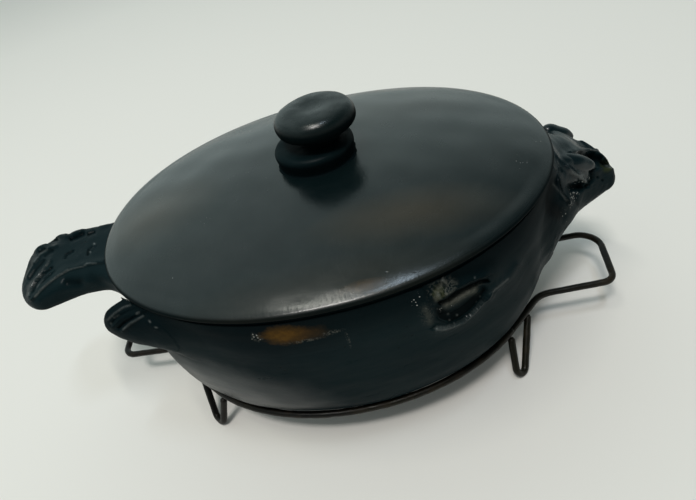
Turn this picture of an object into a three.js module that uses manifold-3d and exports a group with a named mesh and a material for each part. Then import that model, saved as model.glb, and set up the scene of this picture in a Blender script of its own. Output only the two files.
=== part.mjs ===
// A fired clay cooking pot in the shape of a fish, with its lid, on a stand of bent wire.
// Millimetres, +X towards the fish's head, +Z up, the wire feet on z = 0.
import * as THREE from "three";
import Module from "manifold-3d";

const wasm = await Module();
wasm.setup();

// Clearances
const jointGap = 0.3; // between pieces that touch, and where clay is luted on clay
const seatGap = 0.2; // between the bowl and the ring that it hangs in
const lidPlay = 1.6; // round the lid's locating lip

// Lid
const lidHalfLength = 155;
const lidHalfWidth = 126;
const ovalPower = 2.05; // 2 is an ellipse, more is squarer
const lidEdge = 7; // thickness of the rounded edge
const lidWall = 7;
const domeRise = 18.2; // from the middle of the edge to the crown
const domePower = 0.75;
const lidOverhang = 2.6; // beyond the bowl's rim
const lipDrop = 8; // locating lip under the lid
const lipWall = 6;

// Knob and its collar
const knobShift = 8.7; // hand-set, a little towards the head
const knobRadius = 27;
const knobHeight = 45.4; // middle of the disc above the middle of the lid's edge
const knobUpper = 10.6;
const knobLower = 8.4;
const knobDimple = 1.6;
const neckRadius = 15;
const collarShift = 4.7;
const collarRadius = 27;
const collarHeight = 28.5; // top of the collar above the middle of the lid's edge
const collarRound = 3;

// Bowl
const edgeHeight = 144.2; // middle of the lid's edge above the floor
const baseHeight = 8;
const baseShare = 0.5; // flat base as a share of the rim
const endPower = 4.8; // fullness of the belly towards head and tail
const sidePower = 4.25; // fullness of the belly at the sides
const bowlWall = 8.5;
const bowlFloor = 10;
const rimRound = 2.4;

// Head
const headSunk = 24.4; // from the bowl's rim inwards to the head's root
const headLength = 82;
const headDropShare = 0.873; // from the rim down to the throat, as a share of the way to the ring
const headHalfWidth = 46;
const headPower = 2.2;
const eyeAlong = 44.5; // eye centre in front of the head's root
const eyeAside = 21;
const eyeDown = 20.5; // below the rim
const eyeLong = 10.5;
const eyeTall = 8.2;

// Tail
const tailSunk = 24.4; // from the bowl's rim inwards to the tail's root
const tailLength = 111;
const tailHalfWidth = 28;
const tailThick = 24;
const tailTop = 1.8; // below the rim
const tailDroop = 12; // of the lowest ray at its tip
const rayPower = 2.3;

// Fins
const rearFinThick = 10;
const rearFinTall = 11.5;
const frontFinThick = 8;
const frontFinTall = 8.5;
const pocketDepth = 5;
const finPower = 2.2;

// Stand
const wireRadius = 2.5;
const ringHeight = 30.4; // middle of the ring's wire
const outBend = 20; // where a handle loop turns out of the ring
const nearBend = 9; // at the loop's right-hand corner
const farBend = 16; // at its left-hand corner
const footBend = 5;

// Derived sizes
const rimHeight = edgeHeight - lidEdge / 2 - jointGap;
const rimHalfLength = lidHalfLength - lidOverhang;
const headRoot = rimHalfLength - headSunk;
const headDrop = (rimHeight - ringHeight) * headDropShare;
const tailRoot = rimHalfLength - tailSunk;
const rimHalfWidth = lidHalfWidth - lidOverhang;

// Fineness of the faceted surfaces
const roundTheBowl = 56;
const bowlSteps = 10;
const roundTheKnob = 32;
const roundTheHead = 24;
const roundAnEye = 16;
const eyeSteps = 9;
const roundAFin = 18;
const finSteps = 12;
const roundARay = 14;
const raySteps = 14;
const roundTheWire = 8;
const cutOver = 40; // how far cutting solids run past what they cut

const clay = new THREE.MeshStandardMaterial({ color: 0x1d2022, roughness: 0.42, metalness: 0 });
const clayLid = new THREE.MeshStandardMaterial({ color: 0x22262a, roughness: 0.32, metalness: 0 });
const steel = new THREE.MeshStandardMaterial({ color: 0x2a2522, roughness: 0.6, metalness: 0.8 });

const part = new THREE.Group();

// A closed skin over rings of points, all with the same count, closed by a fan at both ends.
function skin(rings) {
  const count = rings[0].length;
  const points = [];
  for (const ring of rings) for (const p of ring) points.push(p.x, p.y, p.z);
  const index = [];
  for (let r = 0; r + 1 < rings.length; r++) {
    for (let i = 0; i < count; i++) {
      const j = (i + 1) % count;
      const a = r * count + i;
      const b = r * count + j;
      index.push(a, b, b + count, a, b + count, a + count);
    }
  }
  for (const [r, turned] of [[0, true], [rings.length - 1, false]]) {
    const middle = new THREE.Vector3();
    for (const p of rings[r]) middle.addScaledVector(p, 1 / count);
    const centre = points.length / 3;
    points.push(middle.x, middle.y, middle.z);
    for (let i = 0; i < count; i++) {
      const a = r * count + i;
      const b = r * count + ((i + 1) % count);
      if (turned) index.push(b, a, centre);
      else index.push(a, b, centre);
    }
  }
  const geometry = new THREE.BufferGeometry();
  geometry.setAttribute("position", new THREE.Float32BufferAttribute(points, 3));
  geometry.setIndex(index);
  return faceOut(geometry);
}

// Turns every face round when the closed mesh holds a negative volume.
function faceOut(geometry) {
  const at = geometry.getAttribute("position");
  const index = geometry.getIndex().array;
  const [a, b, c] = [new THREE.Vector3(), new THREE.Vector3(), new THREE.Vector3()];
  let volume = 0;
  for (let i = 0; i < index.length; i += 3) {
    a.fromBufferAttribute(at, index[i]);
    b.fromBufferAttribute(at, index[i + 1]);
    c.fromBufferAttribute(at, index[i + 2]);
    volume += a.dot(b.cross(c));
  }
  if (volume < 0) {
    const turned = Array.from(index);
    for (let i = 0; i < turned.length; i += 3) {
      [turned[i + 1], turned[i + 2]] = [turned[i + 2], turned[i + 1]];
    }
    geometry.setIndex(turned);
  }
  return geometry;
}

function solidOf(geometry) {
  const vertProperties = new Float32Array(geometry.getAttribute("position").array);
  const triVerts = new Uint32Array(geometry.getIndex().array);
  return new wasm.Manifold(new wasm.Mesh({ numProp: 3, vertProperties, triVerts }));
}

function geometryOf(solid) {
  const mesh = solid.getMesh();
  const geometry = new THREE.BufferGeometry();
  geometry.setAttribute("position", new THREE.Float32BufferAttribute(mesh.vertProperties, 3));
  geometry.setIndex(Array.from(mesh.triVerts));
  return geometry;
}

function add(group, name, geometry, material) {
  geometry.computeVertexNormals();
  const mesh = new THREE.Mesh(geometry, material);
  mesh.name = name;
  group.add(mesh);
  return mesh;
}

function mirrored(points) {
  return points.map((p) => new THREE.Vector3(p.x, -p.y, p.z));
}

// A point of an oval: |x/a|^power + |y/b|^power = 1.
function ovalPoint(halfLength, halfWidth, power, angle, z) {
  const c = Math.cos(angle);
  const s = Math.sin(angle);
  const x = halfLength * Math.sign(c) * Math.abs(c) ** (2 / power);
  const y = halfWidth * Math.sign(s) * Math.abs(s) ** (2 / power);
  return new THREE.Vector3(x, y, z);
}

function ovalRing(halfLength, halfWidth, z, count, shift = 0, power = ovalPower) {
  return Array.from({ length: count }, (_, i) => {
    const p = ovalPoint(halfLength, halfWidth, power, (i / count) * 2 * Math.PI, z);
    p.x += shift;
    return p;
  });
}

// Share of the rim's half-axis that the bowl keeps at a depth, 0 at the rim and 1 at the base.
function bellyShare(depthShare, power) {
  const reach = (1 - baseShare ** power) ** (1 / power);
  return (1 - (Math.min(Math.max(depthShare, 0), 1) * reach) ** power) ** (1 / power);
}

function bowlLengthAt(z, top = rimHeight, bottom = baseHeight, half = rimHalfLength) {
  return half * bellyShare((top - z) / (top - bottom), endPower);
}

function bowlWidthAt(z, top = rimHeight, bottom = baseHeight, half = rimHalfWidth) {
  return half * bellyShare((top - z) / (top - bottom), sidePower);
}

// Depths from 0 to 1, closer together where the belly turns under.
function depthShares(steps) {
  return Array.from({ length: steps + 1 }, (_, i) => Math.sin((i / steps) * 0.5 * Math.PI) ** 1.15);
}

// The bowl's outside from the rim down to the base, grown by a gap.
function outsideRings(grow) {
  return depthShares(bowlSteps).map((share) => {
    const z = rimHeight - rimRound - share * (rimHeight - rimRound - baseHeight);
    return ovalRing(bowlLengthAt(z) + grow, bowlWidthAt(z) + grow, z, roundTheBowl);
  });
}

function bowlRings() {
  const innerBase = baseHeight + bowlFloor;
  const innerLength = rimHalfLength - bowlWall;
  const innerWidth = rimHalfWidth - bowlWall;
  const inside = depthShares(bowlSteps).map((share) => {
    const z = rimHeight - rimRound - share * (rimHeight - rimRound - innerBase);
    const a = bowlLengthAt(z, rimHeight, innerBase, innerLength);
    const b = bowlWidthAt(z, rimHeight, innerBase, innerWidth);
    return ovalRing(a, b, z, roundTheBowl);
  });
  const rim = [rimRound, bowlWall - rimRound].map((inset) =>
    ovalRing(rimHalfLength - inset, rimHalfWidth - inset, rimHeight, roundTheBowl));
  return [...outsideRings(0).reverse(), ...rim, ...inside];
}

// The bowl's outside as a plain solid, grown by a gap, to cut whatever is luted to it.
function bowlCutter(gap) {
  const above = ovalRing(rimHalfLength + gap, rimHalfWidth + gap, rimHeight + cutOver, roundTheBowl);
  const [length, width] = [rimHalfLength * baseShare, rimHalfWidth * baseShare];
  const below = ovalRing(length, width, baseHeight - gap, roundTheBowl);
  return solidOf(skin([above, ...outsideRings(gap), below]));
}

// A piece of the pot: rings of an oval section carried along a curve through stations
// { at: Vector3, wide, tall }, the section upright and square to the curve.
function lobe(stations, steps, power, round) {
  const spine = new THREE.CatmullRomCurve3(stations.map((s) => s.at));
  const sizes = new THREE.CatmullRomCurve3(stations.map((s) => new THREE.Vector3(s.wide, s.tall, 0)));
  const up = new THREE.Vector3(0, 0, 1);
  const rings = [];
  for (let k = 0; k <= steps; k++) {
    const t = k / steps;
    const centre = spine.getPoint(t);
    const ahead = spine.getTangent(t);
    const aside = new THREE.Vector3().crossVectors(up, ahead).normalize();
    const over = new THREE.Vector3().crossVectors(ahead, aside).normalize();
    const size = sizes.getPoint(t);
    rings.push(Array.from({ length: round }, (_, i) => {
      const p = ovalPoint(size.x, size.y, power, (i / round) * 2 * Math.PI, 0);
      return centre.clone().addScaledVector(aside, p.x).addScaledVector(over, p.y);
    }));
  }
  return skin(rings);
}

// Pot: bowl, head, eyes, tail and fins
const pot = new THREE.Group();
part.add(pot);
add(pot, "bowl", skin(bowlRings()), clay);

// Head stations: share of its length, then top, bottom and half-width as shares of drop and width.
const headShares = [
  [0, 0.09, 0.9, 0.92], [0.18, 0.09, 0.95, 0.98], [0.32, 0.1, 0.9, 0.9], [0.46, 0.12, 0.81, 0.74],
  [0.58, 0.15, 0.75, 0.58], [0.7, 0.23, 0.71, 0.46], [0.8, 0.3, 0.665, 0.37], [0.88, 0.34, 0.63, 0.32],
  [0.94, 0.41, 0.61, 0.28], [0.982, 0.47, 0.59, 0.19], [1, 0.515, 0.56, 0.08],
];

function headRing([along, top, bottom, half], round) {
  const x = headRoot + along * headLength;
  const middle = rimHeight - ((top + bottom) / 2) * headDrop;
  const tall = ((bottom - top) / 2) * headDrop;
  return Array.from({ length: round }, (_, i) => {
    const p = ovalPoint(half * headHalfWidth, tall, headPower, (i / round) * 2 * Math.PI, 0);
    return new THREE.Vector3(x, p.x, middle + p.y);
  });
}

const againstBowl = bowlCutter(jointGap);
const headSolid = solidOf(skin(headShares.map((row) => headRing(row, roundTheHead))));

// An eye: an egg lying along the head, its rings square to X.
function eyeSolid(side, grow) {
  const rings = Array.from({ length: eyeSteps }, (_, k) => {
    const turn = ((k + 0.5) / eyeSteps) * Math.PI;
    const wide = (eyeTall + grow) * Math.sin(turn);
    return Array.from({ length: roundAnEye }, (_, i) => {
      const p = ovalPoint(wide, wide, 2, (i / roundAnEye) * 2 * Math.PI, 0);
      const x = headRoot + eyeAlong - (eyeLong + grow) * Math.cos(turn);
      return new THREE.Vector3(x, side * eyeAside + p.x, rimHeight - eyeDown + p.y);
    });
  });
  return solidOf(skin(rings));
}

const sockets = eyeSolid(-1, jointGap).add(eyeSolid(1, jointGap));
add(pot, "head", geometryOf(headSolid.subtract(againstBowl).subtract(sockets)), clay);
for (const [name, side] of [["right_eye", -1], ["left_eye", 1]]) {
  add(pot, name, geometryOf(eyeSolid(side, 0).subtract(againstBowl)), clay);
}

// Tail: rays side by side, each { side, reach, droop } as shares of the tail's own sizes.
const rayShares = [
  { side: -0.66, reach: 0.87, droop: 1 }, { side: -0.22, reach: 0.99, droop: 0.76 },
  { side: 0.24, reach: 0.985, droop: 0.5 }, { side: 0.7, reach: 0.905, droop: 0.15 },
];

// Stations along a ray: share of its run, spread from the middle, width and height.
const rayStations = [
  [0, 0.8, 1, 1], [0.3, 0.92, 1, 1], [0.62, 1, 1, 0.97], [0.78, 1.02, 0.98, 0.84], [0.92, 1.04, 0.85, 0.55],
  [0.98, 1.05, 0.55, 0.32], [1, 1.05, 0.16, 0.1],
];

function tailRay({ side, reach, droop }) {
  const half = tailHalfWidth * 0.36;
  const tall = tailThick / 2;
  const stations = rayStations.map(([along, spread, wide, high]) => ({
    at: new THREE.Vector3(
      -(tailRoot + along * reach * tailLength),
      side * spread * tailHalfWidth,
      rimHeight - tailTop - tall - tailDroop * droop * along ** 3,
    ),
    wide: half * wide,
    tall: tall * high,
  }));
  return solidOf(lobe(stations, raySteps, rayPower, roundARay));
}

const rays = rayShares.map(tailRay);
const tailSolid = rays.slice(1).reduce((joined, ray) => joined.add(ray), rays[0]);
add(pot, "tail", geometryOf(tailSolid.subtract(againstBowl)), clay);

// Fin stations: place as shares of the rim's half-length, half-width and height, then the thickness
// and the tallness.
const rearFinShares = [
  [-0.62, -0.72, 0.83, 0.35, 0.45], [-0.7, -0.69, 0.835, 0.65, 0.75], [-0.78, -0.64, 0.842, 0.85, 0.95],
  [-0.86, -0.59, 0.85, 0.95, 1], [-0.935, -0.555, 0.856, 0.85, 0.9], [-0.985, -0.545, 0.86, 0.55, 0.6],
  [-1.003, -0.545, 0.862, 0.18, 0.2],
];
const frontFinShares = [
  [0.29, -0.925, 0.83, 0.35, 0.45], [0.325, -0.94, 0.828, 0.85, 0.9], [0.38, -0.94, 0.825, 1, 1],
  [0.44, -0.92, 0.828, 1, 0.98], [0.5, -0.875, 0.835, 0.85, 0.85], [0.565, -0.825, 0.85, 0.6, 0.62],
  [0.64, -0.765, 0.87, 0.4, 0.45],
];

function finStations(shares, thick, tall, up = 0, shrink = 1) {
  return shares.map(([along, aside, high, wideShare, tallShare]) => ({
    at: new THREE.Vector3(along * rimHalfLength, aside * rimHalfWidth, high * rimHeight + up),
    wide: thick * wideShare * shrink,
    tall: tall * tallShare * shrink,
  }));
}

function flip(stations) {
  const there = mirrored(stations.map((s) => s.at));
  return stations.map((s, i) => ({ ...s, at: there[i] }));
}

function finSolid(stations, power = finPower) {
  return solidOf(lobe(stations, finSteps, power, roundAFin));
}

for (const [side, way] of [["right", (s) => s], ["left", flip]]) {
  const rear = finSolid(way(finStations(rearFinShares, rearFinThick, rearFinTall)));
  add(pot, side + "_rear_fin", geometryOf(rear.subtract(againstBowl)), clay);
  const lip = finSolid(way(finStations(frontFinShares, frontFinThick, frontFinTall)));
  const hollow = finStations(frontFinShares, frontFinThick, frontFinTall, pocketDepth, 0.72);
  const front = lip.subtract(finSolid(way(hollow), 2)).subtract(againstBowl);
  add(pot, side + "_front_fin", geometryOf(front), clay);
}

// Lid: dome with a rounded edge and a locating lip, then the collar and the knob
const lid = new THREE.Group();
part.add(lid);

function domeHeight(share) {
  return edgeHeight + domeRise * (1 - Math.min(share, 1) ** 2) ** domePower;
}

function lidRing(share, z) {
  return ovalRing(lidHalfLength * share, lidHalfWidth * share, z, roundTheBowl);
}

const crownShares = [0.992, 0.97, 0.93, 0.86, 0.76, 0.62, 0.45, 0.25];

function lidRings() {
  const lipOuterLength = rimHalfLength - bowlWall - lidPlay;
  const lipOuterWidth = rimHalfWidth - bowlWall - lidPlay;
  const bottom = edgeHeight - lidEdge / 2;
  const lip = (inset, z) => ovalRing(lipOuterLength - inset, lipOuterWidth - inset, z, roundTheBowl);
  const under = [0.2, 0.45, 0.65, 0.78, 0.85].map((share) => lidRing(share, domeHeight(share) - lidWall));
  const lipRings = [
    lip(lipWall, bottom), lip(lipWall, bottom - lipDrop), lip(0, bottom - lipDrop), lip(0, bottom),
  ];
  const edgeShares = [[0.985, -1], [0.995, -0.75], [1, -0.2], [0.9995, 0.1]];
  const edge = edgeShares.map(([share, up]) => lidRing(share, edgeHeight + (up * lidEdge) / 2));
  const top = crownShares.map((share) => lidRing(share, domeHeight(share)));
  return [...under, ...lipRings, ...edge, ...top];
}

const lidSolid = solidOf(skin(lidRings()));
add(lid, "lid_shell", geometryOf(lidSolid), clayLid);

const discHeight = edgeHeight + knobHeight;
const collarTop = edgeHeight + collarHeight;
const crownRings = crownShares.map((share) => lidRing(share, domeHeight(share) + jointGap));
const crown = solidOf(skin([lidRing(1, edgeHeight - lidEdge), ...crownRings]));
const collarSolid = solidOf(skin([
  ovalRing(collarRadius, collarRadius, edgeHeight, roundTheKnob, collarShift, 2),
  ovalRing(collarRadius, collarRadius, collarTop - collarRound, roundTheKnob, collarShift, 2),
  ovalRing(collarRadius - collarRound * 0.3, collarRadius - collarRound * 0.3, collarTop - collarRound * 0.3,
    roundTheKnob, collarShift, 2),
  ovalRing(collarRadius - collarRound, collarRadius - collarRound, collarTop, roundTheKnob, collarShift, 2),
]));
add(lid, "collar", geometryOf(collarSolid.subtract(crown)), clayLid);

// Knob: a neck that stands on the collar and opens out into a thick rounded disc.
function knobRings() {
  const ring = (radius, z) => ovalRing(radius, radius, z, roundTheKnob, knobShift, 2);
  const foot = collarTop + jointGap;
  const lowerShares = [[0.62, 0.98], [0.8, 0.8], [0.93, 0.5], [0.99, 0.18]];
  const upperShares = [[0.995, 0.15], [0.95, 0.42], [0.85, 0.68], [0.7, 0.87], [0.5, 0.98], [0.3, 1]];
  const lower = lowerShares.map(([out, down]) => ring(knobRadius * out, discHeight - knobLower * down));
  const upper = upperShares.map(([out, up]) => ring(knobRadius * out, discHeight + knobUpper * up));
  const dimple = ring(knobRadius * 0.12, discHeight + knobUpper - knobDimple);
  return [ring(neckRadius, foot), ring(neckRadius, discHeight - knobLower), ...lower, ...upper, dimple];
}

add(lid, "knob", skin(knobRings()), clayLid);

// Stand: one bent wire makes the ring with its two handle loops, and hairpin legs stand under it
const stand = new THREE.Group();
part.add(stand);

// Half-axis of the ring, so that its wire clears the belly all round by the seat gap.
function seatReach(halfAt) {
  const reach = wireRadius + seatGap;
  let most = 0;
  for (let up = -0.9; up < 0.91; up += 0.1) {
    most = Math.max(most, halfAt(ringHeight + up * reach) + reach * Math.sqrt(1 - up * up));
  }
  return most;
}

const ringLength = seatReach((z) => bowlLengthAt(z));
const ringWidth = seatReach((z) => bowlWidthAt(z));

// A tube of round wire through points, with flat ends square to it.
function wire(points, radius = wireRadius) {
  const up = new THREE.Vector3(0, 0, 1);
  let aside = null;
  const rings = points.map((p, i) => {
    const before = points[Math.max(i - 1, 0)];
    const after = points[Math.min(i + 1, points.length - 1)];
    const ahead = new THREE.Vector3().subVectors(after, before).normalize();
    if (!aside) aside = new THREE.Vector3().crossVectors(up, ahead);
    aside.addScaledVector(ahead, -aside.dot(ahead)).normalize();
    const over = new THREE.Vector3().crossVectors(ahead, aside);
    return Array.from({ length: roundTheWire }, (_, k) => {
      const angle = (k / roundTheWire) * 2 * Math.PI;
      const q = p.clone().addScaledVector(aside, radius * Math.cos(angle));
      return q.addScaledVector(over, radius * Math.sin(angle));
    });
  });
  return skin(rings);
}

// Straight runs between corners, each corner bent to its radius: corners are { at, bend }.
function bentRun(corners, steps) {
  const points = [corners[0].at.clone()];
  for (let i = 1; i + 1 < corners.length; i++) {
    const { at, bend } = corners[i];
    const back = new THREE.Vector3().subVectors(corners[i - 1].at, at).normalize();
    const on = new THREE.Vector3().subVectors(corners[i + 1].at, at).normalize();
    const half = back.angleTo(on) / 2;
    const cut = bend / Math.tan(half);
    const centre = back.clone().add(on).normalize().multiplyScalar(bend / Math.sin(half)).add(at);
    const from = at.clone().addScaledVector(back, cut).sub(centre);
    const to = at.clone().addScaledVector(on, cut).sub(centre);
    const sweep = from.angleTo(to);
    for (let k = 0; k <= steps; k++) {
      const t = k / steps;
      const a = Math.sin((1 - t) * sweep) / Math.sin(sweep);
      const b = Math.sin(t * sweep) / Math.sin(sweep);
      points.push(centre.clone().addScaledVector(from, a).addScaledVector(to, b));
    }
  }
  points.push(corners[corners.length - 1].at.clone());
  return points;
}

// Where the rails turn out to the loops, as shares of the ring's half-length. The stand's two sides are
// the same after half a turn.
const railShares = { right: { head: 0.755, tail: 0.92 }, left: { head: 0.92, tail: 0.755 } };

// The rail on one side, from its tail end to its head end.
function railPoints(name, steps) {
  const { head, tail } = railShares[name];
  const headAngle = Math.acos(head ** (ovalPower / 2));
  const tailAngle = Math.PI - Math.acos(tail ** (ovalPower / 2));
  const side = name === "right" ? -1 : 1;
  return Array.from({ length: steps + 1 }, (_, i) => {
    const angle = tailAngle + (i / steps) * (headAngle - tailAngle);
    return ovalPoint(ringLength, ringWidth, ovalPower, side * angle, ringHeight);
  });
}

// Corners of the loops from the right-hand side to the left, as shares of the ring's half-length and
// half-width. Both loops are pulled a little askew.
const loopShares = {
  head: [
    [0.968, -0.447, outBend], [1.346, -0.474, nearBend], [1.425, 0.03, farBend], [1.043, 0.085, outBend],
  ],
  tail: [
    [-1.06, -0.15, outBend], [-1.414, -0.095, nearBend], [-1.4, 0.44, farBend], [-0.968, 0.447, outBend],
  ],
};

function loopPoints(end) {
  const ends = ["right", "left"].map((name) => railPoints(name, 1)[end === "head" ? 1 : 0]);
  const corners = loopShares[end].map(([along, aside, bend]) => ({
    at: new THREE.Vector3(along * ringLength, aside * ringWidth, ringHeight), bend,
  }));
  return bentRun([{ at: ends[0] }, ...corners, { at: ends[1] }], 6);
}

// The first or last point drawn back along the wire, so that the next wire meets it with a gap.
function shortened(points, gap) {
  const out = points.map((p) => p.clone());
  const last = out.length - 1;
  for (const [end, next] of [[0, 1], [last, last - 1]]) {
    out[end].addScaledVector(new THREE.Vector3().subVectors(out[next], out[end]).normalize(), gap / 2);
  }
  return out;
}

for (const name of ["right", "left"]) {
  add(stand, name + "_rail", wire(shortened(railPoints(name, 26), jointGap)), steel);
}
for (const end of ["head", "tail"]) {
  add(stand, end + "_end_loop", wire(shortened(loopPoints(end), jointGap)), steel);
}

// Legs: hairpins whose prongs are welded under the wire. Along the ring each has a place for its inner
// prong, its outer prong and its foot; the foot is also set aside from the ring's middle.
const legShares = { head: [0.745, 0.88, 0.757, -0.832], tail: [-0.765, -0.9, -0.86, -0.665] };
const rightWire = [
  ...loopPoints("tail").slice(0, 8).reverse(), ...railPoints("right", 40), ...loopPoints("head").slice(0, 8),
];
const wireCutter = solidOf(wire(rightWire, wireRadius + jointGap));

function underWire(x) {
  for (let i = 0; i + 1 < rightWire.length; i++) {
    const [a, b] = [rightWire[i], rightWire[i + 1]];
    if (a.x <= x && x <= b.x && b.x > a.x) return a.clone().lerp(b, (x - a.x) / (b.x - a.x));
  }
  throw new Error("no wire over this leg");
}

const opposite = { head: "tail", tail: "head" };
for (const end of ["head", "tail"]) {
  const [innerShare, outerShare, footShare, asideShare] = legShares[end];
  const [inner, outer] = [innerShare, outerShare].map((share) => underWire(share * ringLength));
  const foot = new THREE.Vector3(footShare * ringLength, asideShare * ringWidth, wireRadius);
  const across = new THREE.Vector3().subVectors(outer, inner).setZ(0).normalize();
  const corners = [
    { at: inner }, { at: foot.clone().addScaledVector(across, -footBend), bend: footBend },
    { at: foot.clone().addScaledVector(across, footBend), bend: footBend }, { at: outer },
  ];
  const hairpin = solidOf(wire(bentRun(corners, 5))).subtract(wireCutter);
  add(stand, end + "_right_leg", geometryOf(hairpin), steel);
  add(stand, opposite[end] + "_left_leg", geometryOf(hairpin.rotate([0, 0, 180])), steel);
}

// Origin: the middle of the footprint, on the floor.
part.updateMatrixWorld(true);
const span = new THREE.Box3().setFromObject(part, true);
const middle = span.getCenter(new THREE.Vector3());
part.position.set(-middle.x, -middle.y, -span.min.z);

export default part;
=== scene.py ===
import math
import bpy
import numpy as np
from mathutils import Matrix, Vector


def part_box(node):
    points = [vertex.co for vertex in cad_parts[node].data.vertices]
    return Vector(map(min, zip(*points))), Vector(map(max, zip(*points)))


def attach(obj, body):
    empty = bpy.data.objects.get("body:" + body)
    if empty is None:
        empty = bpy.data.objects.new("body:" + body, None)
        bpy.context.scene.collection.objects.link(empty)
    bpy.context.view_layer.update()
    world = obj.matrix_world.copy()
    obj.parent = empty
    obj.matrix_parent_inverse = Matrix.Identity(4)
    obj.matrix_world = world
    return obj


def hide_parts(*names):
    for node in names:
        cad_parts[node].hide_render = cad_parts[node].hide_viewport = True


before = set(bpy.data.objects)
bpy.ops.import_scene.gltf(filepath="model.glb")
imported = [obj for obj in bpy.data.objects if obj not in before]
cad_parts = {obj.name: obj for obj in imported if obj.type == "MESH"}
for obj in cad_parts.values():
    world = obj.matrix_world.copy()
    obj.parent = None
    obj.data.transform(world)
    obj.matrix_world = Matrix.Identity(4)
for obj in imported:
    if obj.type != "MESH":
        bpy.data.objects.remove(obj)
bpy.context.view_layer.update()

# The pot's own frame is in millimetres, X towards the head and Z up from the table.
pot = {
    "height": 200.2, "ovalPower": 2.05, "lidHalf": (155.0, 126.0), "rimHalf": (152.4, 123.4), "rimHeight": 140.4,
    "edgeHeight": 144.2, "domeRise": 18.2, "domePower": 0.75, "baseHeight": 8.0, "baseShare": 0.5,
    "endPower": 4.8, "sidePower": 4.25, "wall": 8.5, "floor": 10.0, "inWall": 4.0,
}
mm = 0.001  # in metres
mirror = np.array([1.0, -1.0, 1.0])  # to the pot's other side
# potAt is that frame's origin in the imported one, in metres: on the table, under the middle of the lid.
lidBox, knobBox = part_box("lid_shell"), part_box("knob")
potAt = np.array([(lidBox[0].x + lidBox[1].x) / 2, (lidBox[0].y + lidBox[1].y) / 2, knobBox[1].z - pot["height"] * mm])

# Camera
camera = {
    "picture": (696, 500), "lens": 27.41, "sensor": 36, "at": (0.04525, -0.31668, 0.33612),
    "right": (0.96989, -0.10141, -0.22144), "down": (-0.235, -0.62845, -0.7415), "ahead": (-0.06397, 0.77121, -0.63335),
}
lens = bpy.data.cameras.new("camera")
lens.lens, lens.sensor_width = camera["lens"], camera["sensor"]
lens.clip_start, lens.clip_end = 0.01, 50
eye = bpy.data.objects.new("camera", lens)
bpy.context.collection.objects.link(eye)
right, down, ahead = (Vector(camera[k]).normalized() for k in ("right", "down", "ahead"))
turned = Matrix((right, -down, -ahead)).transposed().to_4x4()
eye.matrix_world = Matrix.Translation(Vector(camera["at"])) @ turned
bpy.context.scene.camera = eye
focal = camera["lens"] / camera["sensor"] * camera["picture"][0]
print("camera set")


# Where points of the pot are seen in the picture, in its pixels, and the direction from each to the camera.
def seenAt(points):
    off = points * mm + potAt - np.array(camera["at"])
    depth = off @ np.array(ahead)
    places = [size / 2 + focal * (off @ np.array(way)) / depth for size, way in zip(camera["picture"], (right, down))]
    return np.stack(places, -1), -unit(off)


def unit(rows):
    return rows / np.maximum(np.linalg.norm(rows, axis=-1, keepdims=True), 1e-9)


# 0 below low, 1 above high, and 3 t ** 2 - 2 t ** 3 between them.
def smoothStep(low, high, values):
    t = np.clip((values - low) / (high - low), 0, 1)
    return t * t * (3 - 2 * t)


# Smooth unevenness of about -1 to 1: the sum of sine waves of nearly one length in seeded directions.
def wobble(points, size, seed, waves=14):
    dice = np.random.default_rng(seed)
    ways = dice.normal(size=(waves, 3))
    ways *= (2 * math.pi / size) * dice.uniform(0.7, 1.4, (waves, 1)) / np.linalg.norm(ways, axis=1, keepdims=True)
    return np.sin(points @ ways.T + dice.uniform(0, 2 * math.pi, waves)).sum(-1) / math.sqrt(waves)


# A smooth curve through rows of numbers: cubic pieces whose slopes are the mean of their neighbours'.
def smoothRows(rows, count):
    rows = np.asarray(rows, float)
    slopes = np.gradient(rows, axis=0)
    t = np.linspace(0, len(rows) - 1, count)
    i = np.minimum(t.astype(int), len(rows) - 2)
    f = (t - i)[:, None]
    return (rows[i] * (2 * f**3 - 3 * f**2 + 1) + slopes[i] * (f**3 - 2 * f**2 + f)
            + rows[i + 1] * (3 * f**2 - 2 * f**3) + slopes[i + 1] * (f**3 - f**2))


# Outward normals of a closed skin of rings, from the differences between neighbouring points.
def normalsOf(rings):
    n = unit(np.cross(np.roll(rings, -1, 1) - np.roll(rings, 1, 1), np.gradient(rings, axis=0)))
    outward = (n * (rings - rings.mean(1, keepdims=True))).sum()
    return n if outward > 0 else -n


# How far the picture's places lie from a line through the stroke's corners, in pixels, and on which side:
# above 0 is to the right of its way, which is below a line drawn rightwards.
def offLine(places, corners):
    corners = np.asarray(corners, float)
    if len(corners) == 1:
        return np.linalg.norm(places - corners[0], axis=-1), np.zeros(places.shape[:-1])
    best, side = np.full(places.shape[:-1], 1e9), np.zeros(places.shape[:-1])
    for a, b in zip(corners[:-1], corners[1:]):
        way, off = b - a, places - a
        t = np.clip((off @ way) / (way @ way), 0, 1)
        far = np.linalg.norm(off - t[..., None] * way, axis=-1)
        turn = way[0] * off[..., 1] - way[1] * off[..., 0]
        side = np.where(far < best, turn, side)
        best = np.minimum(best, far)
    return best, side


# Modelling strokes as the picture shows them, (corners, radius, rise) or (corners, radius, rise, radius on the
# right): each lifts the clay by rise * exp(-(distance / radius) ** 2). A small radius on one side makes an edge.
def rise(places, given):
    total = np.zeros(places.shape[:-1])
    for corners, radius, height, *other in given:
        far, side = offLine(places, corners)
        radius = np.where(side > 0, other[0], radius) if other else radius
        total += height * np.exp(-(far / radius) ** 2)
    return total


# Lifts that agree with what is asked for at the lifted place: each round goes 0.3 of the way.
def settled(asked):
    lift = 0
    for again in range(12):
        lift = lift + 0.3 * (asked(lift) - lift)
    return lift


# What mirrors the points of the far half to the near one, so that both sides are modelled alike, or keeps them.
def toNearSide(rings, both):
    turn = np.ones_like(rings)
    if both:
        turn[..., 1] = np.where(rings[..., 1] > 0, -1, 1)
    return turn


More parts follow.
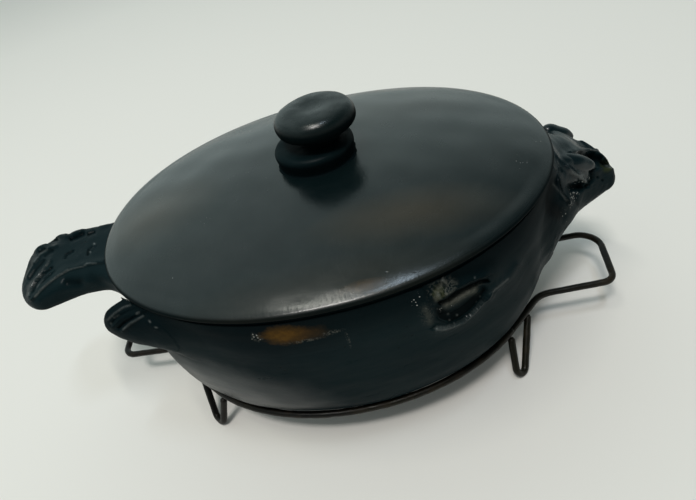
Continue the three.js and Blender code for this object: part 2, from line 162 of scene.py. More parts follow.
# 1 where a skin faces the camera, 0 where it turns away.
def facing(rings, turn):
    return smoothStep(0.0, 0.3, (normalsOf(rings) * turn * seenAt(rings * turn)[1]).sum(-1))


# Lifts a skin along its normals where it faces the camera, so that the strokes are seen where they are given.
def strokes(rings, given, both=True):
    n, turn = normalsOf(rings), toNearSide(rings, both)
    faces = facing(rings, turn)
    return rings + n * settled(lambda lift: (rise(seenAt((rings + n * lift) * turn)[0], given) * faces)[..., None])


# How strongly a skin is marked along such lines, 0 to 1, where it faces the camera.
def marked(rings, given, both=True):
    turn = toNearSide(rings, both)
    return np.clip(rise(seenAt(rings * turn)[0], given) * facing(rings, turn), 0, 1)


# The hollows among modelling strokes, as marks of the painted shade that darkens them.
def hollows(given):
    return [(corners, radius * 0.8, min(-height / 2.5, 1.0)) for corners, radius, height, *other in given if height < 0]


# A mesh over rings of points in the pot's millimetres, closed by a fan at both ends, faces outwards.
def ringSkin(name, rings):
    rows, count = rings.shape[:2]
    points = np.concatenate([rings.reshape(-1, 3), rings[:1].mean(1), rings[-1:].mean(1)])
    i, j = np.arange(count), (np.arange(count) + 1) % count
    start = (np.arange(rows - 1) * count)[:, None]
    a, b = (start + i).ravel(), (start + j).ravel()
    quads = np.stack([a, b, b + count, a + count], 1)
    last = (rows - 1) * count
    fans = np.concatenate([np.stack([j, i, np.full(count, rows * count)], 1),
                           np.stack([last + i, last + j, np.full(count, rows * count + 1)], 1)])
    tris = np.concatenate([quads[:, [0, 1, 2]], quads[:, [0, 2, 3]], fans])
    p = points[tris]
    if np.einsum("ij,ij->i", p[:, 0], np.cross(p[:, 1], p[:, 2])).sum() < 0:
        quads, fans = quads[:, ::-1], fans[:, ::-1]
    mesh = bpy.data.meshes.new(name)
    mesh.from_pydata((points * mm + potAt).tolist(), [], quads.tolist() + fans.tolist())
    mesh.shade_smooth()
    return mesh


# Marks go into the mesh as numbers per point, 0 at the two middles of the fans, and the finish reads them.
def place(name, node, rings, body, material, marks=None):
    piece = bpy.data.objects.new(name, ringSkin(name, rings))
    for label, values in (marks or {}).items():
        piece.data.attributes.new(label, "FLOAT", "POINT").data.foreach_set("value", np.append(values.ravel(), [0, 0]))
    bpy.context.collection.objects.link(piece)
    piece.data.materials.append(material)
    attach(piece, body)
    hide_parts(node)


# A socket's value in shader maths: an expression on values adds its Math nodes.
class Value:
    def __init__(self, nodes, socket):
        self.nodes, self.socket = nodes, socket

    def math(self, operation, *others, clamp=False):
        settings = {"operation": operation, "use_clamp": clamp}
        return self.nodes.node("ShaderNodeMath", settings, dict(enumerate((self, *others))))

    def __add__(self, o): return self.math("ADD", o)
    def __mul__(self, o): return self.math("MULTIPLY", o)
    def __sub__(self, o): return self.math("SUBTRACT", o)
    def __truediv__(self, o): return self.math("DIVIDE", o)
    def __pow__(self, o): return self.math("POWER", o)
    def __rsub__(self, o): return (self * -1) + o
    __radd__, __rmul__ = __add__, __mul__

    def clamped(self):
        return self.math("ADD", 0.0, clamp=True)

    def between(self, low, high):
        return ((self - low) / (high - low)).clamped()


# What makes the nodes of a tree
class Nodes:
    def __init__(self, tree):
        self.tree = tree

    # A new node of a type: its settings come first, then the values or links of its sockets. It gives one output.
    def node(self, kind, settings=None, values=None, out=0):
        node = self.tree.nodes.new(kind)
        for k, v in (settings or {}).items():
            setattr(node, k, v)
        for k, v in (values or {}).items():
            if isinstance(v, Value):
                self.tree.links.new(v.socket, node.inputs[k])
            else:
                node.inputs[k].default_value = v
        return Value(self, node.outputs[out]) if len(node.outputs) else None

    # A colour between a and b
    def mixed(self, share, a, b):
        a, b = (c if isinstance(c, Value) else (*c, 1) for c in (a, b))
        return self.node("ShaderNodeMix", {"data_type": "RGBA"}, {0: share, 6: a, 7: b}, out=2)


class Finish(Nodes):
    def __init__(self, name):
        self.material = bpy.data.materials.new(name)
        self.material.use_nodes = True
        super().__init__(self.material.node_tree)
        self.tree.nodes.clear()
        self.spot = self.node("ShaderNodeTexCoord", out="Object")

    def noise(self, scale, detail=4, rough=0.55, on=None):
        values = {"Vector": on or self.spot, "Scale": scale, "Detail": detail, "Roughness": rough}
        return self.node("ShaderNodeTexNoise", values=values)

    # Noise drawn out along one way: its scale is shared between the axes, which are turned first
    def drawnOut(self, scale, detail, rough, shares, turn):
        return self.noise(scale, detail, rough, self.node(
            "ShaderNodeMapping", values={"Vector": self.spot, "Scale": shares, "Rotation": turn}))

    # Distance to the nearest of the dots that are scattered at a scale
    def dots(self, scale):
        values = {"Vector": self.spot, "Scale": scale, "Randomness": 1.0}
        return self.node("ShaderNodeTexVoronoi", values=values, out="Distance")

    # 1 inside an egg round a place of the pot (mm) and 0 outside, its edge broken up by noise
    def patch(self, at, half, soft, ragged, grain):
        middle = [potAt[k] + at[k] * mm for k in range(3)]
        moved = self.node("ShaderNodeVectorMath", {"operation": "SUBTRACT"}, {0: self.spot, 1: middle})
        shared = self.node("ShaderNodeVectorMath", {"operation": "DIVIDE"}, {0: moved, 1: [h * mm for h in half]})
        far = self.node("ShaderNodeVectorMath", {"operation": "LENGTH"}, {0: shared}, out="Value")
        far = far + (self.noise(grain, 5, 0.6) - 0.5) * (2 * ragged)
        return 1 - far.between(1 - soft, 1 + soft)

    def bump(self, height, distance=mm):
        return self.node("ShaderNodeBump", values={"Height": height, "Distance": distance, "Strength": 1.0})

    def shader(self, **values):
        return self.node("ShaderNodeBsdfPrincipled", values={k.replace("_", " "): v for k, v in values.items()})

    def both(self, share, under, over):
        return self.node("ShaderNodeMixShader", values={0: share, 1: under, 2: over})

    def made(self, shader):
        self.node("ShaderNodeOutputMaterial", values={"Surface": shader})
        return self.material


# Of these tones, deep is painted shade, for the marked hollows and the matt patches, pit is painted shade in the pits,
# and crest is a pale painted highlight along the crests, partly worn paler clay.
clay = {
    "black": (0.0022, 0.0062, 0.0070), "grey": (0.0075, 0.0155, 0.0150), "smoke": (0.034, 0.026, 0.015),
    "rust": (0.095, 0.048, 0.010), "pale": (0.15, 0.15, 0.13), "lichen": (0.045, 0.05, 0.016),
    "deep": (0.0012, 0.0026, 0.0032), "bare": (0.095, 0.095, 0.080), "crest_highlight": (0.13, 0.145, 0.14),
    "pit": (0.002, 0.003, 0.003), "speck": (0.42, 0.42, 0.40),
}
# How fine each pattern of the clay is: waves or dots in a metre
fineness = {"cloud": 9, "fine": 420, "brushed": 560, "rubbed": 55, "crumbs": 700, "pits": 170, "grit": 480}


# Burnished black clay: plain clay, and over it the skin that the rubbing has closed, by how well each place is rubbed.
# lit: share of the greyer tone; tint: scales both tones; pits: how many; grit: how many pale grains; marks and grain:
# depth in mm of the rubbing marks and of the fine ones; rough: the closed skin's range of roughness; sheen: how far
# the clay is rubbed, streaks how unevenly, edge how much of it shows when seen along it.
# The lists place patches, each (middle, half size, strength): polished ones are rubbed more, and matt ones are rubbed
# less and painted darker as shade; a matt one may add how soft its edge is.
def burnished(name, lit, pits, marks, sheen, tint=(1.08, 1.27, 1.46), rough=(0.24, 0.38), edge=0.32, streaks=0.7,
              grain=0.008, grit=0.4, polished=(), mattShade=(), smoky=(), worn=(), pale=(), chips=(), green=()):
    f = Finish(name)
    cloud = f.noise(fineness["cloud"], 4, 0.5).between(0.35, 0.68)
    fine = f.noise(fineness["fine"], 3, 0.6)
    brushed = f.drawnOut(fineness["brushed"], 2, 0.6, (1.0, 0.25, 0.25), (0.3, 0.0, 0.4))
    rubbed = f.drawnOut(fineness["rubbed"], 5, 0.62, (1.0, 1.0, 5.0), (0.15, 0.1, 0.3))
    crumbs = f.noise(fineness["crumbs"], 3, 0.7).between(0.47, 0.6)
    crest_highlight, hollow, bare = (
        f.node("ShaderNodeAttribute", {"attribute_name": k}, out="Fac") for k in ("crest_highlight", "hollow", "bare"))
    mattShadePatches = [f.patch(at, half, *(soft or [0.12]), 0.05, 60) * strength for at, half, strength, *soft in mattShade]
    colour = f.mixed(cloud * lit, *(tuple(c * t for c, t in zip(clay[k], tint)) for k in ("black", "grey")))
    # Painted shade: matt patches darken the colour towards the deep tone.
    for less in mattShadePatches:
        colour = f.mixed(less * 0.6, colour, clay["deep"])
    for patches, tone, edges, broken in (
            (smoky, "smoke", (0.8, 0.45, 22), 1.0), (worn, "rust", (0.45, 0.7, 150), 0.45 + fine),
            (pale, "pale", (0.5, 0.9, 200), crumbs), (green, "lichen", (0.4, 0.9, 200), 1.0)):
        for at, half, strength in patches:
            colour = f.mixed(f.patch(at, half, *edges) * broken * strength, colour, clay[tone])
    # Painted shade: marked hollows darken towards the deep tone, and further down they lose most of their sheen.
    colour = f.mixed(hollow * 0.85, colour, clay["deep"])
    colour = f.mixed((bare * (0.3 + 1.2 * fine)).clamped(), colour, clay["bare"])
    # Painted highlight: marked crests are painted pale, partly as worn paler clay and partly as the glint along them.
    colour = f.mixed((crest_highlight * (crumbs * 0.35 + 0.3)).clamped(), colour, clay["crest_highlight"])
    # Painted shade: pits are darkened, as shade in them.
    chosen = f.noise(38, 2, 0.5).between(0.62 - 0.1 * pits, 0.70 - 0.1 * pits)
    pit = (1 - f.dots(fineness["pits"]).between(0.04, 0.16)) * chosen
    colour = f.mixed(pit * 0.8, colour, clay["pit"])
    where = f.noise(24, 2).between(0.66, 0.72) * grit
    for at, half, strength in chips:
        where = where.math("MAXIMUM", f.patch(at, half, 0.5, 0.5, 90) * strength)
    speck = ((where * 0.36 - f.dots(fineness["grit"])) * 9).clamped()
    colour = f.mixed(speck, colour, clay["speck"])
    gloss = rough[0] + (rough[1] - rough[0]) * (rubbed.between(0.3, 0.7) * 0.6 + fine * 0.4)
    bumpy = f.bump(rubbed * marks + fine * 0.02 + brushed * grain + pit * -0.15 + speck * 0.03)
    share = sheen * (1 - streaks * 0.5 + streaks * rubbed.between(0.3, 0.7))
    for at, half, strength in polished:
        share = share.math("MAXIMUM", f.patch(at, half, 0.5, 0.3, 30) * strength)
    grazing = f.node("ShaderNodeLayerWeight", values={"Blend": 0.5}, out="Facing") ** 4
    share = share.math("MAXIMUM", grazing * edge)
    for less in mattShadePatches:
        share, gloss = share * (1 - less), gloss + less * 0.35
    share = share.math("MAXIMUM", crest_highlight * 0.9) * (1 - speck) * (1 - hollow * 0.9) * (1 - bare)
    plain = f.shader(Base_Color=colour, Roughness=0.6, Normal=bumpy, IOR=1.06)
    closed = f.shader(Base_Color=colour, Roughness=gloss.clamped(), Normal=bumpy, IOR=1.5)
    return f.made(f.both(share.clamped(), plain, closed))


# A patch that is 4000 mm wide is a level band.
# The matt band round the lid's lower edge is also painted darker, as shade.
lidClay = burnished(
    "burnished_clay_lid", lit=0.5, pits=0.1, marks=0.03, sheen=0.97, tint=(1, 1, 1), rough=(0.17, 0.31), streaks=0.12,
    grain=0.075, worn=[((17, -118.5, 146.5), (10, 3, 6), 0.3)], mattShade=[((0, 0, 140.2), (4000, 4000, 4.6), 0.95)],
    smoky=[((-118, -7, 153), (34, 22, 20), 0.6), ((52, -76, 155), (36, 13, 20), 0.7),
           ((0, -112, 148), (60, 10, 20), 0.25), ((70, 60, 156), (60, 26, 20), 0.2)])
# The knob is rubbed only on top: the stone did not reach round its neck and under its edge, painted darker as shade.
# The collar likewise.
knobClay = burnished(
    "burnished_clay_knob", lit=0.6, pits=0.2, marks=0.04, sheen=0.7, tint=(1, 1, 1), rough=(0.2, 0.34), edge=0.0,
    grain=0.014, mattShade=[((8.7, 0, 173), (300, 300, 18.4), 1.0)])
collarClay = burnished(
    "burnished_clay_collar", lit=0.8, pits=0.2, marks=0.05, sheen=0.08, tint=(1, 1.1, 1.2), rough=(0.3, 0.5), edge=0.0,
    grain=0.012, mattShade=[((3, 0, 160), (300, 300, 10.5), 0.85)])
wallPolish = [((-88, -95, 56), (60, 45, 34), 0.75)]
# Little rubbed close under the rim and at the throat, and painted darker there as shade under the lid and the head
underRimShade = [((0, 0, 137), (4000, 4000, 17), 0.75, 0.6)]
throatShade = [((135, -46, 111), (17, 16, 22), 0.85, 0.6), ((135, 46, 111), (17, 16, 22), 0.85, 0.6)]
bowlClay = burnished(
    "burnished_clay_body", lit=0.6, pits=0.5, marks=0.06, sheen=0.085, polished=wallPolish, mattShade=underRimShade + throatShade,
    worn=[((-32, -123, 128), (11, 7.5, 6), 0.95), ((-20, -124, 126.5), (11, 7.5, 4.5), 0.3)],
    pale=[((-6, -123, 123.5), (6, 6, 1.2), 0.5), ((-47, -117.6, 128), (2.5, 6, 3), 0.4),
          ((-22, -122, 121.5), (10, 6, 0.9), 0.4), ((1, -123.3, 115), (0.8, 5, 6), 0.4)],
    chips=[((76, -107.7, 134.6), (5, 8, 3), 0.8), ((-47.5, -117.6, 128), (4, 6, 5), 0.7)])
# The pieces that run out on the wall have its tone, so that no edge shows where they leave it.
modelledClay = burnished(
    "burnished_clay_modelled", lit=0.6, pits=0.5, marks=0.06, sheen=0.08, rough=(0.18, 0.32), mattShade=throatShade,
    polished=[((163, 0, 128), (38, 50, 18), 0.7), ((176, -24, 117), (16, 12, 10), 0.7)],
    chips=[((164.5, -34, 102.5), (8, 9, 7), 0.8), ((156.3, -39.7, 96.3), (5, 7, 8), 0.8),
           ((173, -27, 107), (5, 5, 3), 0.9), ((181, -22, 105), (3, 4, 5), 0.8)],
    green=[((197.5, -12, 104), (5, 6, 3), 0.5)])
finClay = burnished(
    "burnished_clay_fins", lit=0.6, pits=0.5, marks=0.06, sheen=0.085, polished=wallPolish, mattShade=underRimShade,
    pale=[((46.5, -121.7, 118), (4, 8, 8), 0.15), ((57, -118, 131.5), (7, 8, 5), 0.5)],
    chips=[((61, -123, 117), (12, 9, 6), 0.9), ((43, -117, 128), (4, 8, 8), 0.7)],
    green=[((54.5, -115.5, 129), (3.2, 9, 4.5), 0.6)])
print("clay finishes made")

# Wire: black scale with rust breaking through
wire = {"steel": (0.003, 0.0028, 0.0024), "brown": (0.010, 0.0085, 0.004), "rust": (0.020, 0.013, 0.005)}
scaled = Finish("stand_wire_blackened")
rustShare = scaled.noise(70, 6, 0.7).between(0.5, 0.68)
brownShare = scaled.noise(22, 3, 0.6).between(0.42, 0.62)
scale = scaled.noise(600, 4, 0.65)
brown = scaled.mixed(brownShare * 0.8, wire["steel"], wire["brown"])
wireSteel = scaled.made(scaled.shader(
    Base_Color=scaled.mixed(rustShare * 0.75, brown, wire["rust"]),
    Metallic=(1 - rustShare) * 0.1, Roughness=0.3 + rustShare * 0.3 + scale * 0.1, IOR=1.3,
    Normal=scaled.bump(scale * 0.12 + rustShare * 0.15)))


def angles(count):
    return np.linspace(0, 2 * math.pi, count, endpoint=False)


# A point of an oval: |x/a| ** power + |y/b| ** power = 1, for whole arrays.
def oval(a, b, angle, power=pot["ovalPower"]):
    c, s = np.cos(angle), np.sin(angle)
    return a * np.sign(c) * np.abs(c) ** (2 / power), b * np.sign(s) * np.abs(s) ** (2 / power)


# How far out points are: 1 on that oval's line and less inside.
def ovalShare(x, y, a, b):
    power = pot["ovalPower"]
    return (np.abs(x / a) ** power + np.abs(y / b) ** power) ** (1 / power)


# Level ovals from rows of half length, half width and height
def ovalRings(rows, around):
    rows = np.array(rows)
    x, y = oval(rows[:, :1], rows[:, 1:2], angles(around)[None, :])
    return np.stack([x, y, np.broadcast_to(rows[:, 2:], x.shape)], -1)


# Share of the rim's half-axis that the belly keeps at a depth, 0 at the rim and 1 at the base.
def bellyShare(depth, power):
    reach = (1 - pot["baseShare"] ** power) ** (1 / power)
    return (1 - (np.clip(depth, 0, 1) * reach) ** power) ** (1 / power)


# The wall's half length and half width at a height
def halfAxes(z, inset=0.0, bottom=pot["baseHeight"]):
    depth = (pot["rimHeight"] - z) / (pot["rimHeight"] - bottom)
    return tuple((half - inset) * bellyShare(depth, pot[power])
                 for half, power in zip(pot["rimHalf"], ("endPower", "sidePower")))


# Pushes points that lie inside the bowl's wall or hollow out to a surface just under its outside.
def intoWall(points):
    a, b = halfAxes(points[..., 2])
    share = ovalShare(points[..., 0], points[..., 1], a - pot["inWall"], b - pot["inWall"])
    grow = 1 / np.clip(share, 1e-3, 1)
    return points * np.stack([grow, grow, np.ones_like(grow)], -1)


# How far points lie outside the bowl's wall, in mm.
def offWall(points):
    share = ovalShare(points[..., 0], points[..., 1], *halfAxes(points[..., 2]))
    return (share - 1) * np.hypot(points[..., 0], points[..., 1]) / np.maximum(share, 1e-3)


# The rim's profile is how far in and how far up each point is from the rim's outer edge.
bowl = {
    "around": 288, "down": 84, "uneven": 0.55, "ripple": 0.22, "corner": 2.4, "lower": 0.25,
    "rim": [(0.2, -2.4), (1.1, -1.1), (2.8, -0.2), (4.4, 0.2), (6.1, 0.0), (7.8, -0.7), (8.5, -2.4)],
}


# Hand-made unevenness of the wall in mm: a long swell and a short ripple, none at the rim and the base
def uneven(points):
    calm = smoothStep(12, 30, points[..., 2]) * smoothStep(pot["rimHeight"], pot["rimHeight"] - 10, points[..., 2])
    swell = bowl["uneven"] * wobble(points, 95, 3) + bowl["ripple"] * wobble(points * np.array([1, 1, 1.6]), 30, 4)
    return np.minimum(swell, 0.4) * calm


# Foot of each point on the bowl's wall, the wall's normal there and how far the point lies outside it, in mm:
# steps of offWall * slope / slope ** 2.
def footOnWall(points):
    foot = points
    for again in range(3):
        slope = np.stack([offWall(foot + step) - offWall(foot - step) for step in np.eye(3) * 0.5], -1)
        foot = foot - offWall(foot)[..., None] * slope / np.maximum((slope ** 2).sum(-1, keepdims=True), 1e-3)
    n = unit(slope)
    return foot, n, ((points - foot) * n).sum(-1)


# Heights between which the join with the wall dies out under the lid, the highest that clay is laid over the
# wall, and how deep it lies under the bowl's skin where it ends
join = {"fade": (140.0, 128.0), "top": 139.0, "sink": 3.0, "skin": 0.12}


# Smooths a piece onto the bowl: round the line where they meet both are built up by
# reach / 4 * (1 - distance / reach) ** 2, outside the wall on the piece and inside it laid out over the wall.
def smoothedOn(rings, reach, n):
    foot, wall, d = footOnWall(rings)
    cosine = (n * wall).sum(-1, keepdims=True)
    near = np.clip(1 - np.abs(d) / reach, 0, 1)[..., None]
    build = reach / 4 * near ** 2 * smoothStep(*join["fade"], rings[..., 2:])
    grown = rings + build * (n + near * wall) / (1 + near * cosine)
    aside = n - cosine * wall
    deep = np.maximum(-d, 0)[..., None]
    room = np.clip((join["top"] - foot[..., 2:]) / (reach * np.maximum(aside[..., 2:], 1e-3)), 0, 1)
    foot, wall, _ = footOnWall(foot + aside * np.minimum(deep, reach) * room)
    sunk = (join["sink"] * smoothStep(reach * 0.9, reach * 1.2, deep)
            + join["skin"] * smoothStep(reach * 0.3, reach, deep))
    laid = foot + wall * (uneven(foot)[..., None] - sunk) + build * (wall + near * n) / (1 + near * cosine)
    return np.where(d[..., None] < 0, laid, grown)


# Unevenness of a modelled piece, none where it is laid over the wall.
def handMade(rings, size, seed, deep):
    swell = deep * wobble(rings, size, seed) + deep * 0.2 * wobble(rings, size * 0.3, seed + 1)
    return rings + normalsOf(rings) * (swell * smoothStep(0.2, 3.0, offWall(rings)))[..., None]


# Bowl: outside from the base up, the rounded rim, then the inside down to the floor.
def bowlRings():
    steps = np.sin(np.linspace(0, 1, bowl["down"]) * math.pi / 2) ** 1.15
    high = pot["rimHeight"] - bowl["corner"]
    bottom = pot["baseHeight"] + pot["floor"]
    outer = high - steps[::-1] * (high - pot["baseHeight"])
    inner = high - steps * (high - bottom)
    rim = [(pot["rimHalf"][0] - inward, pot["rimHalf"][1] - inward, pot["rimHeight"] + up - bowl["lower"])
           for inward, up in smoothRows(bowl["rim"], 22)]
    rows = [*zip(*halfAxes(outer), outer), *rim, *zip(*halfAxes(inner, pot["wall"], bottom), inner)]
    rows = [(a * s, b * s, z) for s in (0.1, 0.45, 0.8) for a, b, z in rows[:1]] + rows
    rows += [(a * s, b * s, z) for s in (0.75, 0.4, 0.1) for a, b, z in rows[-1:]]
    return ovalRings(rows, bowl["around"])


rings = bowlRings()
n = normalsOf(rings)
rings = rings + np.array([1.0, 1.0, 0.0]) * np.sign(rings) * np.abs(n) * uneven(rings)[..., None]
place("bowl_clay", "bowl", rings, "pot", bowlClay)
print("bowl made")

# Lid: dome, rounded edge, flat seat, locating lip and hollow underside. The dome's shares run from its middle out, its
# edge is share and height, and its lip is how far in from the lip's outside, and height.
lid = {
    "around": 288, "uneven": 0.5, "fine": 0.16, "lower": 0.3, "thick": 7, "lipClear": 1.6,
    "dome": np.concatenate([np.linspace(0.01, 0.9, 50), np.linspace(0.91, 0.972, 12)]),
    "edge": [(0.978, 145.92), (0.987, 145.3), (0.9945, 144.5), (0.999, 143.6), (0.9998, 142.9),
             (0.998, 142.2), (0.993, 141.6), (0.986, 141.1), (0.975, 140.75)],
    "lip": [(-1.6, 140.7), (-0.2, 140.5), (0, 139.6), (0, 134.0), (0.6, 133.0), (1.6, 132.72), (4.4, 132.72),
            (5.4, 133.0), (6, 134.0), (6, 139.0), (6.6, 141.4)],
}


# Height of the dome: edgeHeight + domeRise * (1 - share ** 2) ** domePower
def domeHeight(share):
    return pot["edgeHeight"] + pot["domeRise"] * (1 - np.clip(share, 0, 1) ** 2) ** pot["domePower"]


def domeAt(x, y):
    return domeHeight(ovalShare(x, y, *pot["lidHalf"]))


# Lid: rows of half length, half width and height from the middle of its top to the middle of its underside.
def lidRings():
    a, b = pot["lidHalf"]
    lipA, lipB = (half - pot["wall"] - lid["lipClear"] for half in pot["rimHalf"])
    rows = [(a * s, b * s, domeHeight(s)) for s in lid["dome"]]
    rows += [(a * s, b * s, z) for s, z in smoothRows(lid["edge"], 30)]
    rows += [(lipA - inward, lipB - inward, z) for inward, z in smoothRows(lid["lip"], 40)]
    rows += [(a * s, b * s, domeHeight(s) - lid["thick"]) for s in np.linspace(0.87, 0.01, 30)]
    return ovalRings(rows, lid["around"])


rings = lidRings()
dome = rings[:len(lid["dome"])]
level = dome * np.array([1, 1, 0])
share = np.linspace(0, 1, len(dome))[:, None]
calm = smoothStep(0.0, 0.28, share) * smoothStep(1.02, 0.86, share)
dome[..., 2] += calm * (lid["uneven"] * wobble(level, 110, 7) + lid["fine"] * wobble(level, 34, 8) - lid["lower"])
place("lid_clay", "lid_shell", rings, "lid", lidClay)
print("lid made")

# Collar: a low drum with a rounded top edge. Its top is a profile from the middle out, down from its height. Below
# that the height over the dome is a share of the edge's height, with the radius that goes with each share.
collar = {
    "shift": 3.2, "height": 174.4, "around": 160, "seam": 0.12, "sunk": 1.5,
    "top": [(2.0, -0.2), (10, -0.1), (18, 0), (22.8, -0.2), (25.3, -1.0), (26.6, -2.3), (26.9, -4.0)],
    "side": [(0.95, 26.9), (0.7, 26.6), (0.4, 26.1), (0.15, 25.9), (0.04, 26.4), (0, 27.4)],
    "under": [26.6, 24.5, 4.0],
}


def collarRings():
    t = angles(collar["around"])
    top, side = smoothRows(collar["top"], 26), smoothRows(collar["side"], 24)
    out = np.concatenate([top[:, 0], side[:, 1], collar["under"]])[:, None]
    x, y = collar["shift"] + out * np.cos(t), out * np.sin(t)
    underTop, underSide, underBase = np.split(domeAt(x, y), [len(top), len(top) + len(side)])
    edge = collar["height"] + top[-1, 1] - underTop[-1]
    z = np.concatenate([np.broadcast_to(collar["height"] + top[:, 1:], underTop.shape),
                        underSide + edge * side[:, :1] - collar["seam"], underBase - collar["sunk"]])
    return np.stack([x, y, z], -1)


rings = collarRings()
rings[..., 2] += (0.2 * wobble(rings, 26, 12) + 0.05 * wobble(rings, 8, 13)) * smoothStep(34, 26, np.hypot(
    rings[..., 0] - collar["shift"], rings[..., 1]))
place("collar_clay", "collar", rings, "lid", collarClay)

# Knob: a neck that flares into a thick rounded disc with a shallow dimple. Its profile is radius and height, and
# above the disc's height it is made flatter by a share.
knob = {
    "shift": 8.7, "around": 144, "disc": 185, "flatter": 0.13,
    "profile": [
        (2, 172.0), (12.8, 172.2), (14.3, 173.4), (13.2, 175.2), (12.1, 178.1), (12.4, 179.6), (14.2, 180.6),
        (18.2, 181.0), (22.0, 182.1), (24.6, 183.3), (26.2, 185.0), (26.9, 187.2), (27.0, 189.8), (26.5, 192.9),
        (25.1, 195.6), (22.6, 197.8), (18.6, 199.2), (13.8, 199.9), (9.8, 199.8), (6.6, 199.2), (3.4, 198.7),
        (0.6, 198.6)],
}


def knobRings():
    t = angles(knob["around"])
    out, z = np.split(smoothRows(knob["profile"], 120), 2, axis=1)
    z = z - knob["flatter"] * np.maximum(z - knob["disc"], 0)
    return np.stack([knob["shift"] + out * np.cos(t), out * np.sin(t), z + 0 * t], -1)


rings = knobRings()
above = smoothStep(176, 184, rings[..., 2])
swell = (0.22 * wobble(rings, 30, 21) + 0.05 * wobble(rings, 10, 22) - 0.25) * above
place("knob_clay", "knob", rings + normalsOf(rings) * swell[..., None], "lid", knobClay)
print("knob made")

# Head: rings square to X, then the modelling strokes of its near side, mirrored on the far side. Its shares are, of
# its length, how far out a ring is, of its drop, how far down its top and its bottom are, and of half, its width.
head = {
    "root": 128.0, "length": 79.2, "drop": 96.0, "half": 46.0, "power": 2.2, "along": 220, "around": 300,
    "reach": 22.0, "uneven": (24, 31, 0.3),
    "shares": [
        [-.34, .1, .88, .88], [-.14, .09, .9, .9], [0, .09, .905, .92], [.18, .09, .95, .98], [.32, .1, .9, .9],
        [.46, .12, .82, .74], [.58, .15, .77, .58], [.7, .23, .735, .46], [.8, .3, .695, .37], [.88, .34, .66, .32],
        [.94, .41, .637, .28], [.982, .47, .61, .19], [1, .525, .57, .06]],
    "strokes": [
        ([(570, 160), (585, 166)], 8.5, 2.4), ([(563, 158), (571, 160)], 5.0, 1.4),  # swell that carries the eye
        ([(572, 151.5), (584, 149.5), (594, 151.5)], 4.0, 1.2, 1.3),  # brow, sharp below
        ([(590, 149.5), (598, 151.5), (605, 156), (610, 162)], 2.6, 1.7),  # upper lip
        ([(598, 169), (604, 167), (611, 168)], 1.6, 2.2, 5.0),  # lower lip
        ([(597, 177)], 1.2, -1.5), ([(602, 180)], 1.1, -1.2),  # pits in it
        ([(551, 160), (560, 165), (567, 170)], 4.0, 1.6, 3.4),  # fold under the eye
        ([(566, 169.5), (579, 177.5), (587, 183.5)], 3.4, 2.8, 1.4),
        ([(591, 171), (592, 179), (587, 186)], 1.5, -4.0, 2.2),  # corner of the mouth
        ([(570, 187), (579, 186)], 4.4, -4.5),  # hollow behind it
        ([(551, 182), (557.5, 191), (566, 201)], 4.2, 3.0, 1.2),  # gill's edge
        ([(567, 189), (569, 203)], 1.3, 2.4, 3.6),  # its front
        ([(541, 198), (549, 206), (558, 215)], 7.0, -2.0),  # hollow below the gill
        ([(575, 196), (576, 203)], 3.0, -1.0), ([(584, 190), (578, 201)], 3.5, 0.8),
    ],
    "crestHighlights": [
        ([(573, 172.5), (580, 177), (586, 182)], 1.5, 0.9), ([(562, 168), (572, 173)], 1.2, 0.2),
        ([(553, 184), (560, 192), (566, 200)], 1.1, 0.5), ([(606, 166), (611, 167.5)], 1.2, 0.5),
        ([(566, 130.5), (572, 134)], 1.1, 0.4)],
    # Painted shade below the gill and at the throat's root, marked like the hollows.
    "paintedShade": [([(524, 217), (539, 199), (551, 185)], 8.5, 0.85), ([(533, 219), (546, 211), (556, 208)], 7.0, 0.6)],
    "mouth": [([(580, 154), (589, 156)], 2.0, -2.6), ([(591, 158), (598, 159.5), (605, 163)], 4.0, -6.5)],
    "farMouth": [([(588, 164), (596, 167), (603, 171)], 3.2, -4.0)],
}


def headRings():
    out, up, low, wide = np.split(smoothRows(head["shares"], head["along"]), 4, axis=1)
    y, z = oval(wide * head["half"], (low - up) / 2 * head["drop"], angles(head["around"])[None, :], head["power"])
    z = z + pot["rimHeight"] - (up + low) / 2 * head["drop"]
    return np.stack([head["root"] + out * head["length"] + 0 * y, y, z], -1)


base = headRings()
rings = strokes(base, head["strokes"])
near = strokes(rings, head["mouth"], both=False)
far = strokes(rings * mirror, head["farMouth"], both=False) * mirror
share = smoothStep(5, 11, rings[..., 1:2])  # far side of the snout
rings = smoothedOn(near + (far - rings) * share, head["reach"], normalsOf(base))
rings = intoWall(handMade(rings, *head["uneven"]))
# Marks: crests get a painted highlight, and the hollows, the mouth and the place below the gill get painted shade.
place("head_clay", "head", rings, "pot", modelledClay, {
    "crest_highlight": marked(rings, head["crestHighlights"]),
    "hollow": np.maximum(marked(rings, hollows(head["strokes"]) + head["paintedShade"]),
                         marked(rings, hollows(head["mouth"]), both=False))})

# Eyes: eggs laid along the cheek, drawn out to a point towards the mouth. Each at is the middle of one.
eyes = {
    "half": np.array([11.8, 6.4, 6.6]), "droop": 0.4, "taper": 0.2, "along": 60, "around": 64,
    "at": {"right": (172.6, -19.0, 118.4), "left": (174.6, 19.6, 120.4)},
}
for side, at in eyes["at"].items():
    u = np.linspace(0.02, math.pi - 0.02, eyes["along"])[:, None]
    t = angles(eyes["around"])[None, :]
    x = -np.cos(u) + 0 * t
    girth = np.sin(u) ** 0.9 * (1 - eyes["taper"] * x)
    rings = np.stack([x, girth * np.cos(t), girth * np.sin(t)], -1) * eyes["half"] + at
    rings[..., 2] -= eyes["droop"] * x * eyes["half"][0]
    rings = rings + normalsOf(rings) * (0.25 * wobble(rings, 12, 35))[..., None]
    place(side + "_eye_clay", side + "_eye", rings, "pot", modelledClay)
print("head made")

